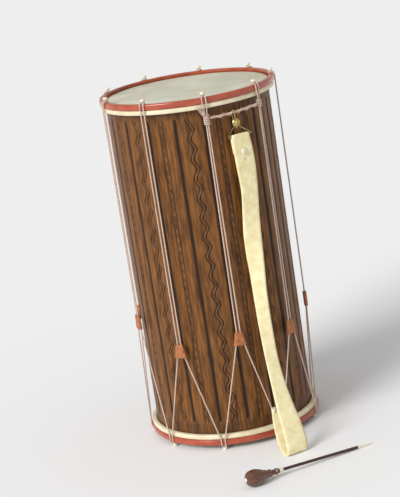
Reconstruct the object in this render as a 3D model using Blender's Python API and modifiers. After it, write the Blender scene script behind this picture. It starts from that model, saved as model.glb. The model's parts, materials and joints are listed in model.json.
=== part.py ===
"""Long two-headed drum with rope tensioning, a leather carrying strap and its one stick.

Metres, +Z up. The drum's axis is Z, and the origin is the centre of the lower head's outer face.
Places round the drum are given as an azimuth, a distance along the tangent, a radius and a height.
"""

import math

import bmesh
import bpy
from mathutils import Matrix, Vector

DRUM = "tambourin"
CUTTERS = "tambourin_cutters"

# Overall size
HOOP_RADIUS = 0.175
HOOP_SPAN = 0.700
HOOP_HEIGHT = 0.012
HEAD_INSET = 0.007
LOW_EDGE = -HEAD_INSET
HIGH_EDGE = LOW_EDGE + HOOP_SPAN
PEG_REACH = 0.010
FLOOR = LOW_EDGE - PEG_REACH
GAP = 0.0003

# Shell of the drum
SHELL_RADIUS = 0.1625
SHELL_WALL = 0.007
SHELL_INSET = HEAD_INSET + 0.0008 + GAP
REEDS = 36
FIRST_GROOVE = math.radians(8.5)
GROOVE_LOW = 0.034
GROOVE_HIGH = 0.660
GROOVE_HALF_WIDTH = 0.0040
GROOVE_DEPTH = 0.0024

# Skin heads and their hoops
SKIN = 0.0008
FOLD_RADIUS = 0.1644
BAND_RADIUS = 0.1730
BAND_TOP = HOOP_HEIGHT + GAP
BAND_BOTTOM = BAND_TOP + 0.0094
RING_STEPS = 36
SHELL_STEPS = 72

# Bone pegs round each hoop
PEGS = 9
FIRST_PEG = math.radians(39.4)
PEG_PITCH = math.tau / PEGS
PEG_CIRCLE = 0.1695
PEG_SHANK = 0.0025
PEG_HOLE = 0.0029
NECK_RADIUS = 0.0017

# Tension cord
CORD = 0.0015
STRAND_RADIUS = 0.1770
STRAND_HALF_GAP = 0.00385
PAIR_HALF_GAP = 0.00185
KNOT_PEG = 6
BINDING_PEG = 7

# Leather tugs, one under each upper peg: height of the middle
TUG_HEIGHTS = (0.208, 0.219, 0.203, 0.226, 0.241, 0.196, 0.211, 0.201, 0.220)
TUG_TALL = 0.0275
TUG_TOP_HALF = 0.0074
TUG_BOTTOM_HALF = 0.0127
TUG_HALF_DEPTH = 0.0039
TUG_LEATHER = 0.0013
STRAND_TUG_TOP = 0.0037
STRAND_TUG_BOTTOM = 0.0086

# Knot, carrying bar and binding
KNOT_LOW = 0.6396
KNOT_TURNS = 5
BINDING_LOW = 0.6490
BINDING_TURNS = 4
TURN_PITCH = 0.0035
TURN_WIDE = 0.0053
TURN_DEEP = 0.0035
LOOP_POINTS = 24
BAR_CORE = 0.0024
BAR_WRAP = 0.0008
BAR_RADIUS = 0.1730
BAR_LEFT = 0.6526
BAR_RIGHT = 0.6566
BAR_TURNS = 5

# Brass hook and ring
BRASS_AZIMUTH = math.radians(297.7)
HOOK_WIRE = 0.0011
RING_WIRE = 0.0010
ROSETTE_RADIUS = 0.0085
ROSETTE_HEIGHT = 0.6340

# Carrying strap: middle of the leather, its width, and the turn of its width about Z in degrees
STRAP_LEATHER = 0.0025
FOLD_CENTRE = Vector((0.0874, -0.1556, 0.6075))
FOLD_BEND = 0.00265
STRAP_TAIL = (
    (0.0843, -0.1582, 0.5660, 0.022, 28),
    (0.0850, -0.1575, 0.5750, 0.034, 28),
    (0.0854, -0.1562, 0.5860, 0.037, 28),
    (0.0858, -0.1542, 0.5980, 0.039, 28),
)
STRAP_FRONT = (
    (0.0890, -0.1580, 0.5950, 0.041, 28),
    (0.0900, -0.1583, 0.5750, 0.043, 28),
    (0.0908, -0.1587, 0.5500, 0.043, 28),
    (0.0911, -0.1593, 0.5240, 0.040, 27),
    (0.0905, -0.1599, 0.4950, 0.037, 26),
    (0.0868, -0.1608, 0.4520, 0.036, 20),
    (0.0838, -0.1617, 0.4100, 0.036, 12),
    (0.0830, -0.1628, 0.3720, 0.034, 4),
    (0.0828, -0.1643, 0.3380, 0.031, -2),
    (0.0822, -0.1668, 0.2990, 0.028, 0),
    (0.0826, -0.1714, 0.2470, 0.027, 8),
    (0.0840, -0.1763, 0.2040, 0.027, 16),
    (0.0863, -0.1839, 0.1590, 0.028, 24),
    (0.0911, -0.1959, 0.1130, 0.032, 28),
    (0.0973, -0.2100, 0.0720, 0.039, 28),
    (0.1030, -0.2235, 0.0440, 0.044, 28),
    (0.1068, -0.2345, 0.0230, 0.047, 28),
    (0.1088, -0.2428, 0.0060, 0.048, 28),
    (0.1086, -0.2478, -0.0050, 0.048, 28),
    (0.1072, -0.2484, -0.0115, 0.048, 28),
    (0.1052, -0.2452, -0.0142, 0.047, 28),
    (0.1022, -0.2390, -0.0144, 0.046, 28),
    (0.0985, -0.2300, -0.0130, 0.045, 28),
    (0.0940, -0.2180, -0.0090, 0.042, 28),
    (0.0890, -0.2035, -0.0005, 0.037, 28),
    (0.0845, -0.1890, 0.0110, 0.030, 27),
    (0.0808, -0.1770, 0.0240, 0.023, 26),
    (0.0785, -0.1695, 0.0360, 0.018, 25),
    (0.0778, -0.1665, 0.0480, 0.014, 25),
)
STRAP_YAW = math.radians(28)
STUD_HEIGHT = 0.5770
STUD_RADIUS = 0.0068
STUD_SHANK = 0.0019
TIE_CORD = 0.0009
TIE_HEIGHT = 0.0430
TIE_HOLE = 0.0022

# Stick lying in front of the drum, and distances from the end of its head
STICK_HEAD = Vector((0.0000, -0.3790, FLOOR + 0.0173))
STICK_TIP = Vector((0.2540, -0.2520, FLOOR + 0.0014))
STICK_STEPS = 20
HEAD_BULB = 0.0162
HEAD_LENGTH = 0.0720
FERRULE_LENGTH = 0.0080
SHAFT_RADIUS = 0.0030
SHAFT_END = 0.2500


def clear_scene():
    for old in list(bpy.data.objects):
        bpy.data.objects.remove(old, do_unlink=True)


def add_collection(name):
    group = bpy.data.collections.new(name)
    bpy.context.scene.collection.children.link(group)


def material(name, colour, roughness, metallic=0.0):
    finish = bpy.data.materials.new(name)
    finish.use_nodes = True
    shader = finish.node_tree.nodes["Principled BSDF"]
    shader.inputs["Base Color"].default_value = (*colour, 1.0)
    shader.inputs["Roughness"].default_value = roughness
    shader.inputs["Metallic"].default_value = metallic
    return finish


def add(name, data, finish):
    """An object of the drum that holds the mesh or curve, in the drum's collection."""
    piece = bpy.data.objects.new(name, data)
    bpy.data.collections[DRUM].objects.link(piece)
    if finish is not None:
        data.materials.clear()
        data.materials.append(finish)
    return piece


def make_cutter(piece):
    """Moves a shape to the cutters' collection, where it cuts others and isn't a part itself."""
    bpy.data.collections[DRUM].objects.unlink(piece)
    bpy.data.collections[CUTTERS].objects.link(piece)
    piece.hide_render = True
    piece.display_type = "WIRE"
    return piece


def cut(piece, cutter, operation="DIFFERENCE"):
    joint = piece.modifiers.new("Cut", "BOOLEAN")
    joint.operation = operation
    joint.solver = "EXACT"
    joint.object = cutter


def smooth(piece, angle=35):
    piece.data.shade_smooth()
    piece.data.set_sharp_from_angle(angle=math.radians(angle))


def settled(piece):
    """Replaces an object's modifiers, or its curve, by the mesh that they make, welded and smooth."""
    graph = bpy.context.evaluated_depsgraph_get()
    mesh = bpy.data.meshes.new_from_object(piece.evaluated_get(graph))
    welded = bmesh.new()
    welded.from_mesh(mesh)
    bmesh.ops.remove_doubles(welded, verts=welded.verts, dist=0.00001)
    bmesh.ops.recalc_face_normals(welded, faces=welded.faces)
    welded.to_mesh(mesh)
    welded.free()
    name = piece.name
    place = piece.matrix_world.copy()
    groups = list(piece.users_collection)
    bpy.data.objects.remove(piece, do_unlink=True)
    result = bpy.data.objects.new(name, mesh)
    for group in groups:
        group.objects.link(result)
    result.matrix_world = place
    smooth(result)
    return result


def turned(name, profile, steps, finish):
    """A turned piece about Z. The profile is (radius, height), clockwise, so that it runs down outside."""
    ends_on_axis = profile[0][0] == 0
    mesh = bpy.data.meshes.new(name)
    edges = [(i, i + 1) for i in range(len(profile) - 1)]
    if not ends_on_axis:
        edges.append((len(profile) - 1, 0))
    mesh.from_pydata([(radius, 0, height) for radius, height in profile], edges, [])
    piece = add(name, mesh, finish)
    screw = piece.modifiers.new("Turn", "SCREW")
    screw.steps = steps
    screw.render_steps = steps
    screw.use_merge_vertices = True
    screw.merge_threshold = 0.00005
    screw.use_smooth_shade = True
    return piece


def copies(name, pattern, places, finish):
    """One object that holds a separate solid at each place, all the same shape as the pattern."""
    pattern = settled(pattern)
    joined = bmesh.new()
    for place in places:
        mesh = pattern.data.copy()
        mesh.transform(place)
        joined.from_mesh(mesh)
        bpy.data.meshes.remove(mesh)
    mesh = bpy.data.meshes.new(name)
    joined.to_mesh(mesh)
    joined.free()
    bpy.data.objects.remove(pattern, do_unlink=True)
    group = add(name, mesh, finish)
    smooth(group)
    return group


def tube(name, points, radius, finish, closed=False, sides=1):
    """A round cord or wire along the points."""
    curve = bpy.data.curves.new(name, "CURVE")
    curve.dimensions = "3D"
    curve.bevel_depth = radius
    curve.bevel_resolution = sides
    curve.use_fill_caps = not closed
    line = curve.splines.new("POLY")
    line.points.add(len(points) - 1)
    for i, place in enumerate(points):
        line.points[i].co = (*place, 1)
    line.use_cyclic_u = closed
    return add(name, curve, finish)


def around(azimuth, tangent, radius, height):
    """The point at this azimuth that is shifted along the tangent, at a radius and a height."""
    out = Vector((math.cos(azimuth), math.sin(azimuth), 0))
    side = Vector((-math.sin(azimuth), math.cos(azimuth), 0))
    return out * radius + side * tangent + Vector((0, 0, height))


def upper_azimuth(number):
    return FIRST_PEG + number * PEG_PITCH


def lower_azimuth(number):
    return upper_azimuth(number) + PEG_PITCH / 2


def from_edge(depth, upper):
    """The height that lies this far inside the edge of the upper or the lower hoop."""
    return HIGH_EDGE - depth if upper else LOW_EDGE + depth


def ring_profile(outline, upper):
    """Turns (radius, depth inside the hoop's edge) into a profile that runs down its outer side."""
    points = [(radius, from_edge(depth, upper)) for radius, depth in outline]
    return points if upper else points[::-1]


def make_shell():
    """Turned walnut tube with a row of flutes between its reeds, plain near both hoops."""
    high = from_edge(SHELL_INSET, True)
    low = from_edge(SHELL_INSET, False)
    bore = SHELL_RADIUS - SHELL_WALL
    bearing = 0.0014
    profile = [
        (bore, high),
        (SHELL_RADIUS - bearing, high),
        (SHELL_RADIUS - 0.3 * bearing, high - 0.3 * bearing),
        (SHELL_RADIUS, high - bearing),
        (SHELL_RADIUS, low + bearing),
        (SHELL_RADIUS - 0.3 * bearing, low + 0.3 * bearing),
        (SHELL_RADIUS - bearing, low),
        (bore, low),
    ]
    shell = turned("shell", profile, SHELL_STEPS, material("walnut", (0.22, 0.10, 0.04), 0.42))
    gouge = (GROOVE_HALF_WIDTH**2 + GROOVE_DEPTH**2) / (2 * GROOVE_DEPTH)
    distance = SHELL_RADIUS + gouge - GROOVE_DEPTH
    run_out = 0.010
    flute = tube(
        "flute",
        [
            (distance + GROOVE_DEPTH, 0, GROOVE_LOW),
            (distance, 0, GROOVE_LOW + run_out),
            (distance, 0, GROOVE_HIGH - run_out),
            (distance + GROOVE_DEPTH, 0, GROOVE_HIGH),
        ],
        gouge,
        None,
        sides=2,
    )
    pitch = math.tau / REEDS
    places = [Matrix.Rotation(FIRST_GROOVE + i * pitch, 4, "Z") for i in range(REEDS)]
    flutes = make_cutter(copies("flutes", flute, places, None))
    cut(shell, flutes)
    return shell


def make_head(name, upper, finish):
    """Skin drawn over the shell's edge and lapped round the flesh hoop, which shows as a pale band."""
    inner = FOLD_RADIUS - SKIN
    pocket = BAND_RADIUS - SKIN
    lap = FOLD_RADIUS + 0.0008
    outline = [
        (0, HEAD_INSET),
        (FOLD_RADIUS - 0.0014, HEAD_INSET),
        (FOLD_RADIUS, HEAD_INSET + 0.0014),
        (FOLD_RADIUS, BAND_TOP),
        (BAND_RADIUS - 0.0010, BAND_TOP),
        (BAND_RADIUS, BAND_TOP + 0.0010),
        (BAND_RADIUS, BAND_BOTTOM - 0.0010),
        (BAND_RADIUS - 0.0010, BAND_BOTTOM),
        (lap, BAND_BOTTOM),
        (lap, BAND_BOTTOM - SKIN),
        (pocket, BAND_BOTTOM - SKIN),
        (pocket, BAND_TOP + SKIN),
        (inner, BAND_TOP + SKIN),
        (inner, HEAD_INSET + 0.0021),
        (inner - 0.0013, HEAD_INSET + SKIN),
        (0, HEAD_INSET + SKIN),
    ]
    return turned(name, ring_profile(outline, upper), RING_STEPS, finish)


def make_flesh_hoop(name, upper, finish):
    """Bent wooden hoop that the skin is lapped round."""
    inner = FOLD_RADIUS + 0.0011
    outer = BAND_RADIUS - SKIN - GAP
    top = BAND_TOP + SKIN + GAP
    bottom = BAND_BOTTOM - SKIN - GAP
    edge = 0.0008
    outline = [
        (inner, top),
        (outer - edge, top),
        (outer, top + edge),
        (outer, bottom - edge),
        (outer - edge, bottom),
        (inner, bottom),
    ]
    return turned(name, ring_profile(outline, upper), RING_STEPS, finish)


def make_counter_hoop(name, upper, finish):
    """Red wooden hoop that presses the lapped skin down, drilled for the pegs."""
    inner = FOLD_RADIUS + 0.0005
    outline = [
        (inner + 0.0012, 0),
        (HOOP_RADIUS - 0.0024, 0),
        (HOOP_RADIUS - 0.0006, 0.0009),
        (HOOP_RADIUS, 0.0028),
        (HOOP_RADIUS, HOOP_HEIGHT - 0.0012),
        (HOOP_RADIUS - 0.0012, HOOP_HEIGHT),
        (inner, HOOP_HEIGHT),
        (inner, 0.0012),
    ]
    hoop = turned(name, ring_profile(outline, upper), RING_STEPS, finish)
    drill = [(0, HOOP_HEIGHT), (PEG_HOLE, HOOP_HEIGHT), (PEG_HOLE, -HOOP_HEIGHT), (0, -HOOP_HEIGHT)]
    bit = turned(name + "_drill", drill, 8, None)
    middle = from_edge(HOOP_HEIGHT / 2, upper)
    azimuth = upper_azimuth if upper else lower_azimuth
    places = [
        Matrix.Translation(around(azimuth(i), 0, PEG_CIRCLE, middle)) for i in range(PEGS)
    ]
    cut(hoop, make_cutter(copies(name + "_holes", bit, places, None)))
    return hoop


def make_pegs(name, upper, finish):
    """Turned bone pegs with a narrow neck for the cord and a flat knob, which are feet on the lower hoop."""
    profile = [
        (0, PEG_REACH),
        (0.0034, PEG_REACH),
        (0.0048, PEG_REACH - 0.0013),
        (0.0050, PEG_REACH - 0.0035),
        (0.0036, PEG_REACH - 0.0055),
        (NECK_RADIUS, 0.0040),
        (NECK_RADIUS, 0.0004),
        (PEG_SHANK, -0.0004),
        (PEG_SHANK, -HOOP_HEIGHT + 0.0010),
        (0, -HOOP_HEIGHT + 0.0010),
    ]
    pattern = settled(turned(name + "_pattern", profile, 8, finish))
    turn = Matrix.Identity(4) if upper else Matrix.Rotation(math.pi, 4, "X")
    azimuth = upper_azimuth if upper else lower_azimuth
    for number in range(PEGS):
        peg = bpy.data.objects.new(f"{name}_{number + 1}", pattern.data)
        bpy.data.collections[DRUM].objects.link(peg)
        seat = around(azimuth(number), 0, PEG_CIRCLE, from_edge(0, upper))
        peg.matrix_world = Matrix.Translation(seat) @ turn
    bpy.data.objects.remove(pattern, do_unlink=True)


def over_hoop(azimuth, upper):
    """The cord's way over one hoop: up its face, round the peg's neck and down again, clockwise first."""
    side = [
        (STRAND_RADIUS, 0.0130),
        (STRAND_RADIUS, 0.0030),
        (HOOP_RADIUS + 0.0007, -0.0010),
        (HOOP_RADIUS - 0.0024, -0.00185),
    ]
    points = [
        around(azimuth, -STRAND_HALF_GAP, radius, from_edge(depth, upper)) for radius, depth in side
    ]
    for step in range(5):
        angle = math.pi * step / 4
        tangent = -STRAND_HALF_GAP * math.cos(angle)
        radius = PEG_CIRCLE - STRAND_HALF_GAP * math.sin(angle)
        points.append(around(azimuth, tangent, radius, from_edge(-0.00185, upper)))
    points += [
        around(azimuth, STRAND_HALF_GAP, radius, from_edge(depth, upper))
        for radius, depth in reversed(side)
    ]
    return points


def strand_through_tug(number, side):
    """One strand's points from the hoop down through its tug. side is -1 or 1 along the tangent."""
    azimuth = upper_azimuth(number)
    middle = TUG_HEIGHTS[number]
    points = []
    if number == KNOT_PEG:
        points.append((PAIR_HALF_GAP, KNOT_LOW + KNOT_TURNS * TURN_PITCH + 0.004))
        points.append((PAIR_HALF_GAP, KNOT_LOW - 0.004))
    if number == BINDING_PEG:
        points.append((PAIR_HALF_GAP, from_edge(BAND_BOTTOM + 0.002, True)))
        points.append((PAIR_HALF_GAP, BINDING_LOW - 0.004))
    points.append((STRAND_TUG_TOP, middle + TUG_TALL / 2))
    points.append((STRAND_TUG_BOTTOM, middle - TUG_TALL / 2))
    return [around(azimuth, side * tangent, STRAND_RADIUS, height) for tangent, height in points]


def make_tension_cord(finish):
    """One cord that zigzags between the hoops. Both its ends are inside the knot."""
    knot_middle = KNOT_LOW + KNOT_TURNS * TURN_PITCH / 2
    azimuth = upper_azimuth(KNOT_PEG)
    above = strand_through_tug(KNOT_PEG, -1)[0]
    route = [around(azimuth, -PAIR_HALF_GAP, STRAND_RADIUS, knot_middle + 0.003), above]
    for step in range(PEGS):
        number = (KNOT_PEG + step) % PEGS
        following = (number + 1) % PEGS
        route += over_hoop(upper_azimuth(number), True)
        route += strand_through_tug(number, 1)
        route += over_hoop(lower_azimuth(number), False)
        arriving = strand_through_tug(following, -1)[::-1]
        if following == KNOT_PEG:
            arriving[-1] = around(azimuth, -PAIR_HALF_GAP, STRAND_RADIUS, knot_middle - 0.003)
        route += arriving
    return tube("tension_cord", route, CORD, finish)


def make_tug(number, finish):
    """Leather sleeve, narrow at the top, that pinches the pair of strands together."""
    rings = []
    corners = 10
    for half_width, height in (
        (TUG_BOTTOM_HALF, -TUG_TALL / 2),
        (TUG_TOP_HALF, TUG_TALL / 2),
    ):
        ring = []
        for i in range(corners):
            angle = math.tau * (i + 0.5) / corners
            flat = math.copysign(abs(math.cos(angle)) ** 0.6, math.cos(angle))
            deep = math.copysign(abs(math.sin(angle)) ** 0.6, math.sin(angle))
            ring.append(Vector((TUG_HALF_DEPTH * deep, half_width * flat, height)))
        rings.append(ring)
    points = rings[0] + rings[1]
    faces = [
        (i, corners + i, corners + (i + 1) % corners, (i + 1) % corners) for i in range(corners)
    ]
    name = f"tug_{number + 1}"
    mesh = bpy.data.meshes.new(name)
    mesh.from_pydata(points, [], faces)
    tug = add(name, mesh, finish)
    leather = tug.modifiers.new("Leather", "SOLIDIFY")
    leather.thickness = TUG_LEATHER
    leather.offset = -1
    leather.use_even_offset = True
    azimuth = upper_azimuth(number)
    tug.rotation_euler.z = azimuth
    tug.location = around(azimuth, 0, STRAND_RADIUS, TUG_HEIGHTS[number])
    return tug


def winding(name, azimuth, low, turns, finish):
    """Cord wound tightly round a pair of strands, as one unbroken tube."""
    points = []
    for i in range(turns * LOOP_POINTS + 1):
        angle = math.tau * i / LOOP_POINTS
        height = low + CORD + TURN_PITCH * i / LOOP_POINTS
        tangent = TURN_WIDE * math.cos(angle)
        radius = STRAND_RADIUS + TURN_DEEP * math.sin(angle)
        points.append(around(azimuth, tangent, radius, height))
    return tube(name, points, CORD, finish), points


def least_self_gap(points, radius, skip):
    """The least distance between the surfaces of two stretches of one tube that aren't neighbours."""
    pairs = (
        (points[i] - points[j]).length
        for i in range(len(points))
        for j in range(i + skip, len(points))
    )
    return min(pairs) - 2 * radius


def bar_middle(share):
    """A point of the carrying bar's axis, from the knot at 0 to the binding at 1. It bows off the shell."""
    clear = math.asin((TURN_WIDE + CORD + GAP + 0.0006) / STRAND_RADIUS)
    start = upper_azimuth(KNOT_PEG) + clear
    end = upper_azimuth(BINDING_PEG) - clear
    azimuth = start + (end - start) * share
    bow = 4 * share * (1 - share)
    radius = STRAND_RADIUS + (BAR_RADIUS - STRAND_RADIUS) * bow
    height = BAR_LEFT + (BAR_RIGHT - BAR_LEFT) * share - 0.0015 * bow
    return around(azimuth, 0, radius, height)


def make_bar(finish):
    """Thick rope bar that hangs between two pairs of strands and carries the strap."""
    steps = 14
    return tube("carrying_bar", [bar_middle(i / steps) for i in range(steps + 1)], BAR_CORE, finish)


def make_bar_wrapping(finish):
    """Thin cord that spirals round the bar in long turns."""
    per_turn = 8
    total = BAR_TURNS * per_turn
    lay = BAR_CORE + BAR_WRAP + 0.00035
    points = []
    for i in range(total + 1):
        share = 0.03 + 0.94 * i / total
        middle = bar_middle(share)
        along = (bar_middle(share + 0.01) - bar_middle(share - 0.01)).normalized()
        out = Vector((middle.x, middle.y, 0)).normalized()
        up = out.cross(along).normalized()
        out = along.cross(up)
        angle = math.tau * i / per_turn
        points.append(middle + lay * (math.cos(angle) * out + math.sin(angle) * up))
    return tube("bar_wrapping", points, BAR_WRAP, finish)


def bar_share_at(azimuth):
    start = upper_azimuth(KNOT_PEG)
    end = upper_azimuth(BINDING_PEG)
    return (azimuth - start) / (end - start)


def hook_point(radius, height):
    return around(BRASS_AZIMUTH, 0, radius, height)


def make_hook(finish):
    """Brass wire loop over the carrying bar, with a domed rosette and a small knob riveted on its front."""
    bar = bar_middle(bar_share_at(BRASS_AZIMUTH))
    bar_radius = math.hypot(bar.x, bar.y)
    bend = BAR_CORE + 2 * BAR_WRAP + 0.0007 + HOOK_WIRE
    loop = []
    for step in range(9):
        angle = math.pi * step / 8
        loop.append(hook_point(bar_radius - bend * math.cos(angle), bar.z + bend * math.sin(angle)))
    eye_radius = 0.0026
    eye = Vector((bar_radius + 0.0024, bar.z - 0.0240))
    loop.append(hook_point(bar_radius + 0.0057, bar.z - 0.0100))
    loop.append(hook_point(bar_radius + 0.0052, bar.z - 0.0190))
    for step in range(5):
        angle = math.pi * step / 4
        loop.append(
            hook_point(eye.x + eye_radius * math.cos(angle), eye.y - eye_radius * math.sin(angle))
        )
    loop.append(hook_point(bar_radius - 0.0024, bar.z - 0.0150))
    loop.append(hook_point(bar_radius - bend - 0.0002, bar.z - 0.0050))
    wire = tube("strap_hook", loop, HOOK_WIRE, finish, closed=True)
    wire = settled(wire)
    dome = [
        (0, 0.0048),
        (0.0022, 0.0044),
        (0.0030, 0.0034),
        (0.0052, 0.0036),
        (0.0070, 0.0026),
        (ROSETTE_RADIUS, 0.0008),
        (ROSETTE_RADIUS, -0.0002),
        (0.0060, -0.0004),
        (0.0018, -0.0012),
        (0, -0.0012),
    ]
    rosette = settled(turned("rosette", dome, 20, None))
    face_out = Matrix.Rotation(BRASS_AZIMUTH, 4, "Z") @ Matrix.Rotation(math.pi / 2, 4, "Y")
    rosette.matrix_world = (
        Matrix.Translation(hook_point(bar_radius + 0.0068, ROSETTE_HEIGHT)) @ face_out
    )
    knob = settled(turned("rosette_knob", knob_profile(), 10, None))
    knob.matrix_world = Matrix.Translation(hook_point(bar_radius + 0.0056, ROSETTE_HEIGHT - 0.0094))
    cut(wire, make_cutter(rosette), "UNION")
    cut(wire, make_cutter(knob), "UNION")
    return wire


def knob_profile():
    """Small drop below the rosette."""
    return [
        (0, 0.0026),
        (0.0014, 0.0020),
        (0.0021, 0.0006),
        (0.0019, -0.0010),
        (0.0010, -0.0021),
        (0, -0.0024),
    ]


def rounded_corners(corners, radius, steps):
    """Points of a closed outline with each corner replaced by an arc-like bend."""
    points = []
    count = len(corners)
    for i, corner in enumerate(corners):
        before = (corners[i - 1] - corner).normalized()
        after = (corners[(i + 1) % count] - corner).normalized()
        start = corner + before * radius
        end = corner + after * radius
        for step in range(steps + 1):
            share = step / steps
            points.append(start.lerp(corner, share).lerp(corner.lerp(end, share), share))
    return points


def make_ring(finish):
    """Triangular brass wire ring: its apex hangs in the hook, its base runs through the strap's fold."""
    bar = bar_middle(bar_share_at(BRASS_AZIMUTH))
    apex_radius = math.hypot(bar.x, bar.y) + 0.0024
    side = Vector((-math.sin(BRASS_AZIMUTH), math.cos(BRASS_AZIMUTH), 0))
    apex = around(BRASS_AZIMUTH, 0, apex_radius, bar.z - 0.0222)
    left = FOLD_CENTRE - side * 0.0270
    right = FOLD_CENTRE + side * 0.0270
    return tube(
        "strap_ring", rounded_corners([apex, left, right], 0.0040, 5), RING_WIRE, finish, closed=True
    )


def strap_sections():
    """Middle, width direction and width of the leather at each place along it, from tail to tie."""
    sections = []
    for x, y, z, width, turn in STRAP_TAIL:
        sections.append((Vector((x, y, z)), math.radians(turn), width))
    out = Vector((math.sin(STRAP_YAW), -math.cos(STRAP_YAW), 0))
    for step in range(9):
        angle = math.pi * step / 8
        lean = out * -math.cos(angle) + Vector((0, 0, 1)) * math.sin(angle)
        sections.append((FOLD_CENTRE + lean * FOLD_BEND, STRAP_YAW, 0.0390))
    for x, y, z, width, turn in STRAP_FRONT:
        sections.append((Vector((x, y, z)), math.radians(turn), width))
    return sections


def make_strap(finish):
    """One length of cream leather, folded over the ring, hanging in a bow and looped back to the tie."""
    sections = strap_sections()
    points = []
    for middle, yaw, width in sections:
        across = Vector((math.cos(yaw), math.sin(yaw), 0)) * (width / 2)
        points += [middle - across, middle, middle + across]
    faces = []
    for i in range(len(sections) - 1):
        for j in range(2):
            corner = 3 * i + j
            faces.append((corner, corner + 1, corner + 4, corner + 3))
    mesh = bpy.data.meshes.new("strap")
    mesh.from_pydata(points, [], faces)
    strap = add("strap", mesh, finish)
    leather = strap.modifiers.new("Leather", "SOLIDIFY")
    leather.thickness = STRAP_LEATHER
    leather.offset = 0
    leather.use_even_offset = True
    smooth(strap)
    shank = punch("strap_stud_hole", STUD_SHANK + 0.0004, stud_place())
    cut(strap, shank)
    start, out, _ = tie_frame()
    hole = start + out * 0.0088
    cut(strap, punch("strap_tie_hole", TIE_HOLE, Matrix.Translation(hole) @ facing(out)))
    return strap


def facing(direction):
    """The rotation that turns Z to a direction."""
    return direction.to_track_quat("Z", "Y").to_matrix().to_4x4()


def punch(name, radius, place):
    """A round cutter along the place's Z."""
    depth = 0.009
    tool = settled(turned(name, [(0, depth), (radius, depth), (radius, -depth), (0, -depth)], 10, None))
    tool.matrix_world = place
    return make_cutter(tool)


def stud_place():
    """The seat of the stud on the strap's face, with Z outwards."""
    out = Vector((math.sin(STRAP_YAW), -math.cos(STRAP_YAW), 0))
    side = Vector((math.cos(STRAP_YAW), math.sin(STRAP_YAW), 0))
    seat = Vector((FOLD_CENTRE.x, FOLD_CENTRE.y, STUD_HEIGHT)) + out * 0.0058 + side * 0.0010
    return Matrix.Translation(seat) @ facing(out)


def make_stud(finish):
    """Bone button with a shank through both layers of the strap and a washer behind."""
    back = -0.0074
    washer = 0.0045
    profile = [
        (0, 0.0030),
        (0.0030, 0.0027),
        (0.0056, 0.0017),
        (STUD_RADIUS, 0.0004),
        (STUD_RADIUS, 0.0),
        (STUD_SHANK, 0.0),
        (STUD_SHANK, back),
        (washer, back),
        (washer, back - 0.0012),
        (0, back - 0.0012),
    ]
    stud = turned("strap_stud", profile, 16, finish)
    stud.matrix_world = stud_place()
    return stud


def tie_frame():
    """The point of the strand that the strap is tied to, with its outward and sideways directions."""
    high = strand_through_tug(KNOT_PEG, 1)[-1]
    low = over_hoop(lower_azimuth(KNOT_PEG), False)[0]
    start = high.lerp(low, (high.z - TIE_HEIGHT) / (high.z - low.z))
    out = Vector((start.x, start.y, 0)).normalized()
    return start, out, Vector((-out.y, out.x, 0))


def make_tie(finish):
    """Thong through the hole in the strap's end and round the strand behind it, as one closed loop."""
    start, out, side = tie_frame()
    way = (
        (0.0118, 0.0000, 0.0005),
        (0.0088, 0.0000, 0.0000),
        (0.0050, -0.0014, -0.0006),
        (0.0015, -0.0036, -0.0006),
        (-0.0020, -0.0029, 0.0000),
        (-0.0032, 0.0000, 0.0006),
        (-0.0020, 0.0029, 0.0014),
        (0.0015, 0.0036, 0.0030),
        (0.0050, 0.0020, 0.0072),
        (0.0085, 0.0008, 0.0112),
        (0.0120, 0.0004, 0.0088),
        (0.0132, 0.0000, 0.0045),
    )
    points = [start + out * ahead + side * aside + Vector((0, 0, up)) for ahead, aside, up in way]
    return tube("strap_tie", points, TIE_CORD, finish, closed=True)


def stick_piece(name, profile, finish):
    """A turned piece of the stick. Its profile's heights are distances from the end of the head."""
    piece = turned(name, profile, STICK_STEPS, finish)
    along = STICK_TIP - STICK_HEAD
    piece.matrix_world = Matrix.Translation(STICK_HEAD) @ facing(along)
    return piece


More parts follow.
